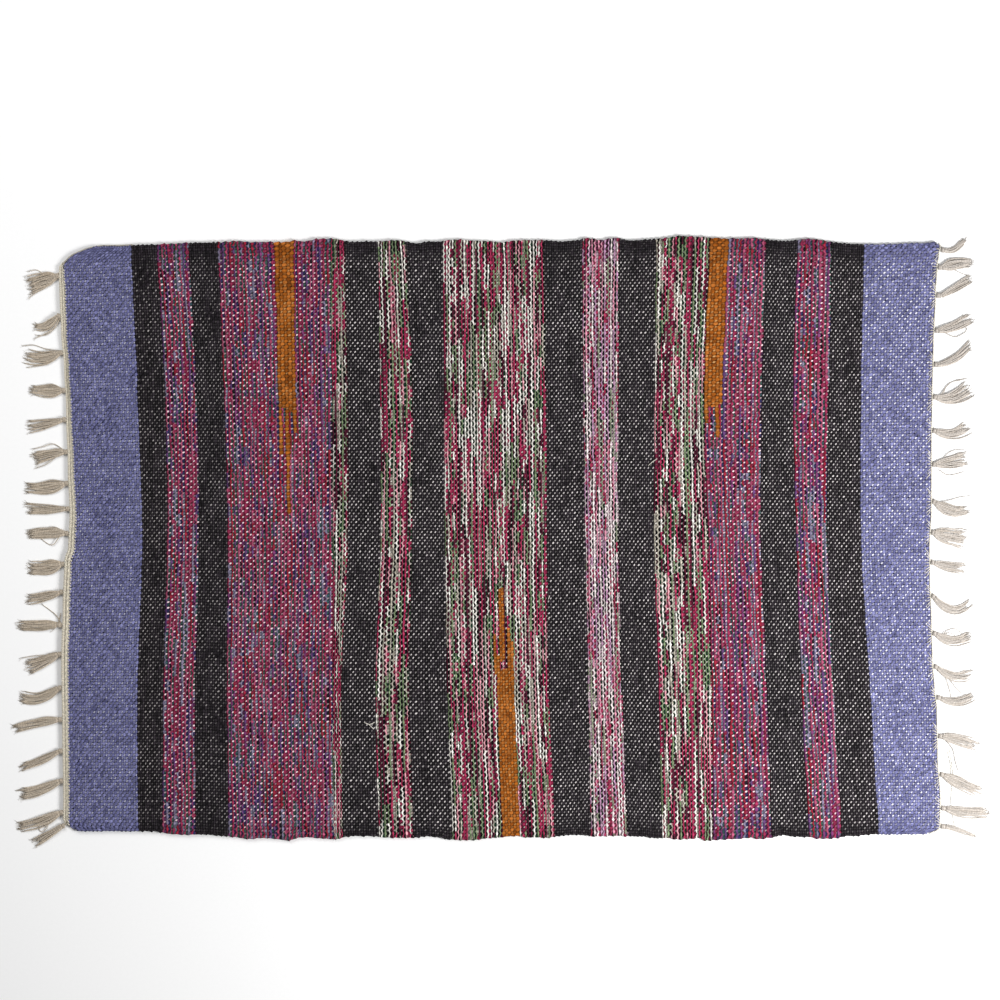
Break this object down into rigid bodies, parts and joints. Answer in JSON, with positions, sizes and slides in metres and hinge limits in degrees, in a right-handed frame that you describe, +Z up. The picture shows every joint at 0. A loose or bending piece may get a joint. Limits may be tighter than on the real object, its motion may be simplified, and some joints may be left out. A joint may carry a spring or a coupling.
{
  "type": "kilim",
  "caption": "Flat woven cotton rug with cross stripes, a corded heading and knotted tassels at both ends.",
  "frame": {"origin": "middle of the underside, on the surface it lies on", "axes": "+X along the warp, from one fringed end to the other; +Y along the stripes; +Z up out of the face"},
  "size_m": [0.9833, 0.6153, 0.0043],
  "materials": {
    "weft": "matte woven cotton in cross stripes",
    "warp": "matte undyed cotton yarn"
  },
  "bodies": {
    "root": {"cloth": "weft", "heading_left": "warp", "heading_right": "warp", "tassel_left_01": "warp", "tassel_left_02": "warp", "tassel_left_03": "warp", "tassel_left_04": "warp", "tassel_left_05": "warp", "tassel_left_06": "warp", "tassel_left_07": "warp", "tassel_left_08": "warp", "tassel_left_09": "warp", "tassel_left_10": "warp", "tassel_left_11": "warp", "tassel_left_12": "warp", "tassel_left_13": "warp", "tassel_left_14": "warp", "tassel_left_15": "warp", "tassel_left_16": "warp", "tassel_left_17": "warp", "tassel_left_18": "warp", "tassel_left_19": "warp", "tassel_right_01": "warp", "tassel_right_02": "warp", "tassel_right_03": "warp", "tassel_right_04": "warp", "tassel_right_05": "warp", "tassel_right_06": "warp", "tassel_right_07": "warp", "tassel_right_08": "warp", "tassel_right_09": "warp", "tassel_right_10": "warp", "tassel_right_11": "warp", "tassel_right_12": "warp", "tassel_right_13": "warp", "tassel_right_14": "warp", "tassel_right_15": "warp", "tassel_right_16": "warp", "tassel_right_17": "warp", "tassel_right_18": "warp", "tassel_right_19": "warp"}
  },
  "joints": []
}
